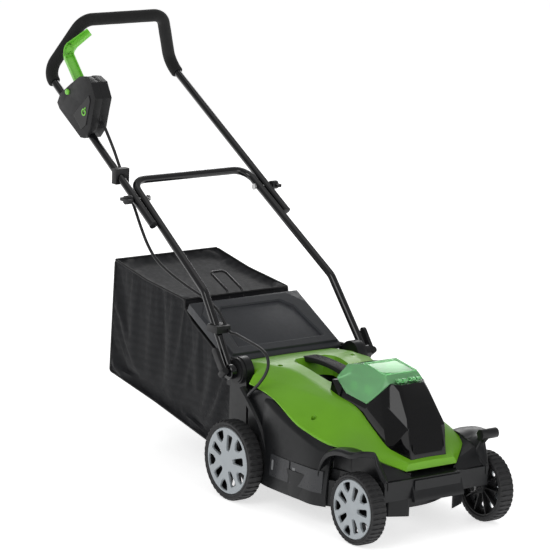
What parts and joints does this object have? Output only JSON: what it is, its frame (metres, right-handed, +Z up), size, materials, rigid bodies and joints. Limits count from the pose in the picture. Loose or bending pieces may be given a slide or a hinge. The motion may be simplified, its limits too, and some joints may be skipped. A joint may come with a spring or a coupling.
{
  "type": "push lawn mower",
  "caption": "Battery rotary lawn mower with folding tubular handle, rear grass bag, four wheels and a lift-up battery lid.",
  "frame": {"origin": "on the ground under the middle of the machine's length and width, wheels resting on z = 0", "axes": "+X forward in the mowing direction, +Y to the operator's left, +Z up"},
  "size_m": [1.3244, 0.457, 0.9609],
  "materials": {
    "deck_plastic": "satin moulded",
    "cover_green": "satin gloss moulded",
    "cowl_black": "high gloss",
    "lid_green": "clear tinted",
    "grip_black": "fine texture",
    "battery_grey": "fine texture",
    "motor_metal": "cast",
    "bare_steel": "plain",
    "board_green": "lacquered",
    "tube_black": "gloss powder coat",
    "foam_black": "closed-cell foam",
    "tyre_rubber": "matte",
    "wheel_black": "satin",
    "hubcap_silver": "satin silver",
    "bail_green": "gloss",
    "cable_black": "satin",
    "bag_fabric": "woven polyester",
    "flap_grey": "fine texture"
  },
  "bodies": {
    "deck": {"deck": "deck_plastic", "motor_cover": "cover_green", "front_cowl": "cowl_black", "battery_tray": "deck_plastic", "carry_handle": "grip_black", "motor_stator": "motor_metal", "motor_bearings": "bare_steel", "controller_board": "board_green", "height_sector": "wheel_black", "handle_hubs": "grip_black", "flap_hinge_pin": "bare_steel", "cover_screws": "bare_steel", "axle_brackets": "wheel_black", "cable_lower": "cable_black"},
    "key": {"safety_key": "bail_green"},
    "blade": {"motor_rotor": "bare_steel", "blade_adapter": "wheel_black", "cutting_blade": "bare_steel", "blade_bolt": "bare_steel"},
    "front_axle": {"front_axle": "bare_steel", "height_lever": "wheel_black", "lever_grip": "grip_black"},
    "rear_axle": {"rear_axle": "bare_steel"},
    "tie_rod": {"tie_rod": "bare_steel"},
    "lower_handle": {"lower_handle": "tube_black", "handle_bolts": "bare_steel", "cable_clip_lower": "grip_black", "cable_middle": "cable_black"},
    "cam_right": {"cam_lever_right": "grip_black"},
    "cam_left": {"cam_lever_left": "grip_black"},
    "upper_handle": {"upper_handle": "tube_black", "foam_grip": "foam_black", "handle_end_caps": "grip_black", "switch_box_outer": "grip_black", "switch_box_inner": "grip_black", "switch_unit": "battery_grey", "cable_upper": "cable_black", "cable_clip_upper": "grip_black"},
    "knob_right": {"wing_knob_right": "grip_black"},
    "knob_left": {"wing_knob_left": "grip_black"},
    "bail": {"bail_lever": "bail_green"},
    "button": {"lock_button": "bail_green"},
    "lid": {"battery_lid": "lid_green"},
    "pack_right": {"battery_pack_right": "battery_grey"},
    "pack_left": {"battery_pack_left": "battery_grey"},
    "flap": {"rear_flap": "flap_grey"},
    "bag": {"grass_bag": "bag_fabric", "bag_frame": "tube_black"},
    "wheel_front_right": {"tyre_front_right": "tyre_rubber", "wheel_front_right": "wheel_black", "hubcap_front_right": "hubcap_silver"},
    "wheel_front_left": {"tyre_front_left": "tyre_rubber", "wheel_front_left": "wheel_black", "hubcap_front_left": "hubcap_silver"},
    "wheel_rear_right": {"tyre_rear_right": "tyre_rubber", "wheel_rear_right": "wheel_black", "hubcap_rear_right": "hubcap_silver"},
    "wheel_rear_left": {"tyre_rear_left": "tyre_rubber", "wheel_rear_left": "wheel_black", "hubcap_rear_left": "hubcap_silver"}
  },
  "joints": [
    {"name": "blade_spin", "type": "hinge", "parent": "deck", "child": "blade", "pos_m": [0.373, 0, 0.1], "axis": [0, 0, 1], "continuous": true},
    {"name": "height_adjust", "type": "hinge", "parent": "deck", "child": "front_axle", "pos_m": [0.535, 0, 0.116], "axis": [0, 1, 0], "range_deg": [-30, 0]},
    {"name": "rear_height", "type": "hinge", "parent": "deck", "child": "rear_axle", "pos_m": [0.136, 0, 0.128], "axis": [0, 1, 0], "range_deg": [-30, 0]},
    {"name": "tie_rod_pivot", "type": "hinge", "parent": "front_axle", "child": "tie_rod", "pos_m": [0.535, 0.12, 0.146], "axis": [0, 1, 0], "range_deg": [0, 30]},
    {"name": "spin_front_right", "type": "hinge", "parent": "front_axle", "child": "wheel_front_right", "pos_m": [0.585, -0.173, 0.077], "axis": [0, 1, 0], "continuous": true},
    {"name": "spin_front_left", "type": "hinge", "parent": "front_axle", "child": "wheel_front_left", "pos_m": [0.585, 0.173, 0.077], "axis": [0, 1, 0], "continuous": true},
    {"name": "spin_rear_right", "type": "hinge", "parent": "rear_axle", "child": "wheel_rear_right", "pos_m": [0.186, -0.21, 0.089], "axis": [0, 1, 0], "continuous": true},
    {"name": "spin_rear_left", "type": "hinge", "parent": "rear_axle", "child": "wheel_rear_left", "pos_m": [0.186, 0.21, 0.089], "axis": [0, 1, 0], "continuous": true},
    {"name": "lower_fold", "type": "hinge", "parent": "deck", "child": "lower_handle", "pos_m": [0.1304, 0, 0.272], "axis": [0, 1, 0], "range_deg": [0, 118], "deforming": ["cable_lower"]},
    {"name": "upper_fold", "type": "hinge", "parent": "lower_handle", "child": "upper_handle", "pos_m": [-0.2618, 0, 0.5868], "axis": [0, 1, 0], "range_deg": [-150, 0], "deforming": ["cable_middle"]},
    {"name": "cam_right_clamp", "type": "hinge", "parent": "lower_handle", "child": "cam_right", "pos_m": [0.1304, -0.205, 0.272], "axis": [0.7863, 0, 0.6179], "range_deg": [0, 95]},
    {"name": "cam_left_clamp", "type": "hinge", "parent": "lower_handle", "child": "cam_left", "pos_m": [0.1304, 0.205, 0.272], "axis": [-0.7863, 0, -0.6179], "range_deg": [0, 95]},
    {"name": "knob_right_turn", "type": "hinge", "parent": "lower_handle", "child": "knob_right", "pos_m": [-0.2618, -0.203, 0.5868], "axis": [0, 1, 0], "continuous": true},
    {"name": "knob_left_turn", "type": "hinge", "parent": "lower_handle", "child": "knob_left", "pos_m": [-0.2618, 0.203, 0.5868], "axis": [0, 1, 0], "continuous": true},
    {"name": "bail_squeeze", "type": "hinge", "parent": "upper_handle", "child": "bail", "pos_m": [-0.493, -0.174, 0.775], "axis": [0, 1, 0], "range_deg": [-10, 0], "stiffness_Nm_per_rad": 2, "springref_deg": 5.73},
    {"name": "button_press", "type": "slide", "parent": "upper_handle", "child": "button", "axis": [0, 1, 0], "range_m": [0, 0.004], "stiffness_N_per_m": 300, "springref_m": -0.002},
    {"name": "lid_swing", "type": "hinge", "parent": "deck", "child": "lid", "pos_m": [0.52, 0, 0.319], "axis": [0, 1, 0], "range_deg": [0, 95]},
    {"name": "pack_right_lift", "type": "slide", "parent": "deck", "child": "pack_right", "axis": [0, 0, 1], "range_m": [0, 0.06]},
    {"name": "pack_left_lift", "type": "slide", "parent": "deck", "child": "pack_left", "axis": [0, 0, 1], "range_m": [0, 0.06]},
    {"name": "key_lift", "type": "slide", "parent": "deck", "child": "key", "axis": [0, 0, 1], "range_m": [0, 0.02]},
    {"name": "flap_swing", "type": "hinge", "parent": "deck", "child": "flap", "pos_m": [0.087, 0, 0.282], "axis": [0, 1, 0], "range_deg": [0, 75], "stiffness_Nm_per_rad": 0.4, "springref_deg": -17.19},
    {"name": "bag_lift_off", "type": "slide", "parent": "deck", "child": "bag", "axis": [-0.94, 0, 0.3412], "range_m": [0, 0.25]}
  ],
  "couplings": [
    {"joint": "rear_height", "follows": "height_adjust", "ratio": 1},
    {"joint": "tie_rod_pivot", "follows": "height_adjust", "ratio": -1},
    {"joint": "upper_fold", "follows": "lower_fold", "ratio": -1.27},
    {"joint": "pack_right_lift", "follows": "lid_swing", "m_per_rad": 0.036},
    {"joint": "pack_left_lift", "follows": "lid_swing", "m_per_rad": 0.036},
    {"joint": "key_lift", "follows": "lid_swing", "m_per_rad": 0.012}
  ]
}
